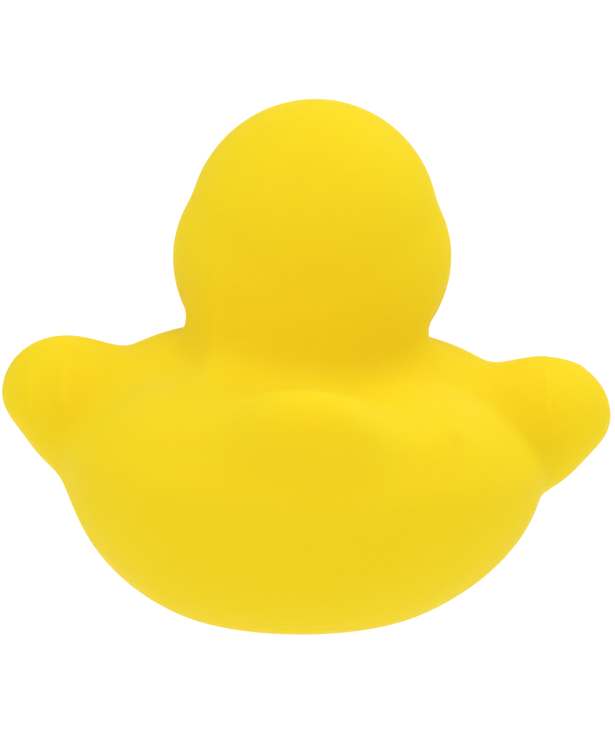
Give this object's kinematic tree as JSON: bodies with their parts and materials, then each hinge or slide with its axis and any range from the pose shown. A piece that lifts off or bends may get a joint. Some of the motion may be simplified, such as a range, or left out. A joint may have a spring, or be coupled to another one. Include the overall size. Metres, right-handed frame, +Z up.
{
  "type": "rubber duck",
  "caption": "Small hollow bath toy duck in soft vinyl, with raised stubby wings, an upturned tail and a flat base with an air hole.",
  "frame": {"origin": "under the middle of the duck, on the surface that its flat base stands on", "axes": "+Z up, bill towards -Y, tail towards +Y, wings out along +X and -X"},
  "size_m": [0.0853, 0.0761, 0.0717],
  "materials": {
    "yellow_vinyl": "satin"
  },
  "bodies": {
    "root": {"duck_body": "yellow_vinyl"}
  },
  "joints": []
}
